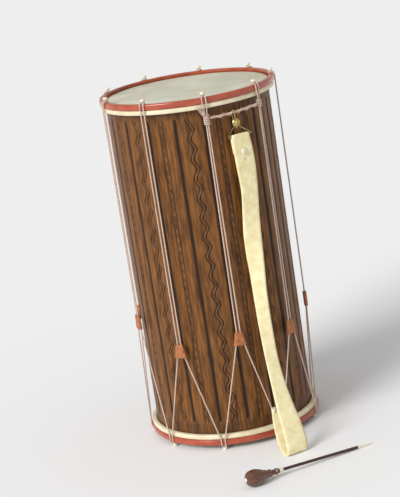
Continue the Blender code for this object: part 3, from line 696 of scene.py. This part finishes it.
def bar_middle(share):
    """A point of the carrying bar's axis, from the knot at 0 to the binding at 1."""
    clear = math.asin((TURN_WIDE + CORD + GAP + BAR_END_GAP) / STRAND_RADIUS)
    start = upper_azimuth(KNOT_PEG) + clear
    end = upper_azimuth(BINDING_PEG) - clear
    bow = 4 * share * (1 - share)
    radius = STRAND_RADIUS + (BAR_RADIUS - STRAND_RADIUS) * bow
    height = BAR_LEFT + BAR_RISE * share - BAR_SAG * bow
    return around(start + (end - start) * share, 0, radius, height)


def frayed_end():
    """A fan of thin fibres at the left of the knot."""
    dice = np.random.default_rng(5)
    azimuth = upper_azimuth(KNOT_PEG)
    fibres = []
    for i in range(FRAYS):
        spread = -1.0 + 2.0 * i / (FRAYS - 1)
        fibre = []
        for step in range(5):
            share = step / 4
            reach = share * (0.006 + 0.009 * spread + dice.uniform(-0.002, 0.002))
            height = FRAY_LOW + share * FRAY_RISE + share * share * 0.004
            fibre.append(around(azimuth, -FRAY_START - reach, FRAY_RADIUS, height))
        fibres.append(fibre)
    return fibres


def knot_and_bar():
    """The knot with its frayed end, the binding, and between them the bar with its spiral of cord."""
    knot = rope([wound(upper_azimuth(KNOT_PEG), KNOT_LOW, KNOT_TURNS)], CORD, TURN_MESH)
    make_piece("knot_turns", knot, ROPE, "drum", ("cord_knot",))
    fray = rope(frayed_end(), FRAY_CORD, FRAY_MESH, strands=2, sides=6, taper=0.6)
    make_piece("knot_fray", fray, ROPE, "drum")
    binding = rope(
        [wound(upper_azimuth(BINDING_PEG), BINDING_LOW, BINDING_TURNS)], CORD, TURN_MESH
    )
    make_piece("binding_turns", binding, ROPE, "drum", ("bar_binding",))
    bar = rope([[bar_middle(i / 40) for i in range(41)]], BAR_ROPE, BAR_MESH)
    make_piece("rope_bar", bar, ROPE, "drum", ("carrying_bar",))
    spiral = []
    count = SPIRAL_TURNS * SPIRAL_POINTS
    for i in range(count + 1):
        share = 0.03 + 0.94 * i / count
        middle = bar_middle(share)
        along = (bar_middle(share + 0.01) - bar_middle(share - 0.01)).normalized()
        up = Vector((middle.x, middle.y, 0)).cross(along).normalized()
        out = along.cross(up)
        angle = math.tau * i / SPIRAL_POINTS
        spiral.append(middle + SPIRAL_RADIUS * (math.cos(angle) * out + math.sin(angle) * up))
    shape = rope([spiral], SPIRAL_CORD, SPIRAL_MESH)
    make_piece("bar_spiral", shape, ROPE, "drum", ("bar_wrapping",))


# Leather


def tugs():
    """Leather sleeves with slightly rounded rims, narrow at the top."""
    rings = list(TUG_OUTSIDE)
    rings += [(share, swell - TUG_LEATHER) for share, swell in reversed(TUG_OUTSIDE)]
    faces = []
    for k in range(len(rings)):
        here = k * TUG_CORNERS
        there = (k + 1) % len(rings) * TUG_CORNERS
        for i in range(TUG_CORNERS):
            beside = (i + 1) % TUG_CORNERS
            faces.append((here + i, there + i, there + beside, here + beside))
    for number in range(PEGS):
        azimuth = upper_azimuth(number)
        place = Matrix.Translation(around(azimuth, 0, STRAND_RADIUS, TUG_HEIGHTS[number]))
        place = place @ Matrix.Rotation(azimuth, 4, "Z")
        points = []
        for share, swell in rings:
            half = TUG_BOTTOM_HALF + (TUG_TOP_HALF - TUG_BOTTOM_HALF) * share
            height = TUG_TALL * (share - 0.5)
            for i in range(TUG_CORNERS):
                angle = math.tau * (i + 0.5) / TUG_CORNERS
                flat = math.copysign(abs(math.cos(angle)) ** TUG_ROUNDING, math.cos(angle))
                deep = math.copysign(abs(math.sin(angle)) ** TUG_ROUNDING, math.sin(angle))
                corner = Vector(((TUG_HALF_DEPTH + swell) * deep, (half + swell) * flat, height))
                points.append(place @ corner)
        name = f"tug_{number + 1}"
        make_piece(f"{name}_sleeve", (points, faces), TUG, name, (name,))


def listed(rows):
    return [(Vector((x, y, z)), math.radians(turn), width) for x, y, z, width, turn in rows]


def strap_sections():
    """Middle, turn and width of the leather at each place along it, from tail to tie."""
    fold = []
    for step in range(BEND_STEPS + 1):
        angle = math.pi * step / BEND_STEPS
        lean = STRAP_OUT * -math.cos(angle) + Vector((0, 0, 1)) * math.sin(angle)
        fold.append((FOLD_CENTRE + lean * FOLD_BEND, STRAP_YAW, FOLD_WIDTH))
    return listed(STRAP_TAIL) + fold + listed(STRAP_FRONT)


def eased(values, share, i):
    """Smooth curve through the values between i and i + 1."""
    last = len(values) - 1
    a, b, c, d = (values[max(0, min(last, i + k))] for k in (-1, 0, 1, 2))
    return b + 0.5 * share * (
        c - a + share * (2 * a - 5 * b + 4 * c - d + share * (3 * (b - c) + d - a))
    )


def strap():
    """The strap's leather with rounded edges, as a smooth curve through the sections."""
    sections = strap_sections()
    columns = list(zip(*sections))
    line = []
    for i in range(len(sections) - 1):
        for step in range(STRAP_EASING):
            line.append(tuple(eased(values, step / STRAP_EASING, i) for values in columns))
    line.append(sections[-1])
    points = []
    for i, (middle, yaw, width) in enumerate(line):
        before = line[max(0, i - 1)][0]
        after = line[min(len(line) - 1, i + 1)][0]
        side = Vector((math.cos(yaw), math.sin(yaw), 0))
        normal = (after - before).cross(side).normalized()
        outline = []
        for j in range(STRAP_ACROSS + 1):
            t = -1 + 2 * j / STRAP_ACROSS
            edge = math.sqrt(max(0.0, 1 - abs(t) ** 16))
            outline.append((t * width / 2, STRAP_LEATHER / 2 * edge))
        points += [middle + side * t + normal * thick for t, thick in outline]
        points += [middle + side * t - normal * thick for t, thick in reversed(outline[1:-1])]
    shape = (points, tube_faces(len(line), 2 * STRAP_ACROSS))
    make_piece("strap_hide", shape, STRAP, "strap", ("strap",))


def strap_hole():
    """Small hole under the stud, as a dark mark of painted shade on the leather's front."""
    turn = STRAP_OUT.to_track_quat("Z", "Y").to_matrix().to_4x4()
    place = Matrix.Translation(HOLE_SEAT + STRAP_OUT * HOLE_LIFT) @ turn
    mark = lathe(HOLE_PROFILE, 16, place)
    make_piece("strap_hole_painted_shade", mark, HOLE_PAINTED_SHADE, "strap")


def thong():
    """The thong wound round the strap's lower end, inside the CAD node's box."""
    low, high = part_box("strap_tie")
    middle = (low + high) / 2
    half = (high - low) / 2
    count = THONG_TURNS * TURN_POINTS
    coil = []
    for i in range(count + 1):
        angle = math.tau * i / TURN_POINTS
        x = (half.x - THONG_INSET) * math.cos(angle)
        y = (half.y - THONG_INSET) * math.sin(angle)
        z = -half.z + THONG_INSET + (2 * half.z - 2 * THONG_INSET) * i / count
        coil.append(middle + Vector((x, y, z)))
    shape = rope([coil], THONG_CORD, THONG_MESH, strands=1)
    make_piece("thong_turns", shape, THONG, "strap", ("strap_tie",))


def finish_nodes():
    """Gives every CAD node its finish, also the hidden ones."""
    slots = {entry["node"]: entry["material_slot"] for entry in frame["record"]["subparts"]}
    for name, node in frame["nodes"].items():
        made = SHOWN.get(name) or BY_SLOT[slots[name]]
        node.data.materials.clear()
        node.data.materials.append(made)


# Floor, light and camera


def floor():
    made = bpy.data.materials.new("floor")
    made.use_nodes = True
    shader = made.node_tree.nodes["Principled BSDF"]
    shader.inputs["Base Color"].default_value = (0.86, 0.86, 0.86, 1)
    shader.inputs["Roughness"].default_value = 0.9
    shader.inputs["Specular IOR Level"].default_value = 0.1
    reach = 30
    corners = [(-reach, -reach), (reach, -reach), (reach, reach), (-reach, reach)]
    mesh = bpy.data.meshes.new("floor")
    mesh.from_pydata([(x, y, FLOOR) for x, y in corners], [], [(0, 1, 2, 3)])
    mesh.materials.append(made)
    ground = bpy.data.objects.new("floor", mesh)
    bpy.context.scene.collection.objects.link(ground)


def light():
    """An even white sky, and one soft light from the left and in front."""
    world = bpy.data.worlds.new("studio")
    world.use_nodes = True
    sky = world.node_tree.nodes["Background"]
    sky.inputs["Color"].default_value = (1, 1, 1, 1)
    sky.inputs["Strength"].default_value = 0.55
    bpy.context.scene.world = world
    sun = bpy.data.lights.new("key", "SUN")
    sun.energy = 2.7
    sun.angle = math.radians(28)
    key = bpy.data.objects.new("key", sun)
    key.rotation_euler = Vector((-0.84, -0.80, 0.72)).to_track_quat("Z", "Y").to_euler()
    bpy.context.scene.collection.objects.link(key)


def photograph_camera():
    """The photograph's viewpoint. The drum stands upright and the camera is rolled."""
    lens = bpy.data.cameras.new("camera")
    lens.lens = 118.92
    lens.sensor_width = 36
    camera = bpy.data.objects.new("camera", lens)
    camera.matrix_world = Matrix(
        (
            (0.98864, 0.15012, 0.00648, 0.0),
            (-0.03218, 0.25363, -0.96676, -3.2371),
            (-0.14677, 0.95557, 0.25559, 1.2130),
            (0, 0, 0, 1),
        )
    )
    bpy.context.scene.collection.objects.link(camera)
    bpy.context.scene.camera = camera


carved_shell()
make_end("upper", True)
make_end("lower", False)
tension_cord()
knot_and_bar()
tugs()
strap()
strap_hole()
thong()
finish_nodes()
floor()
light()
photograph_camera()
bpy.context.scene.view_settings.view_transform = "Standard"
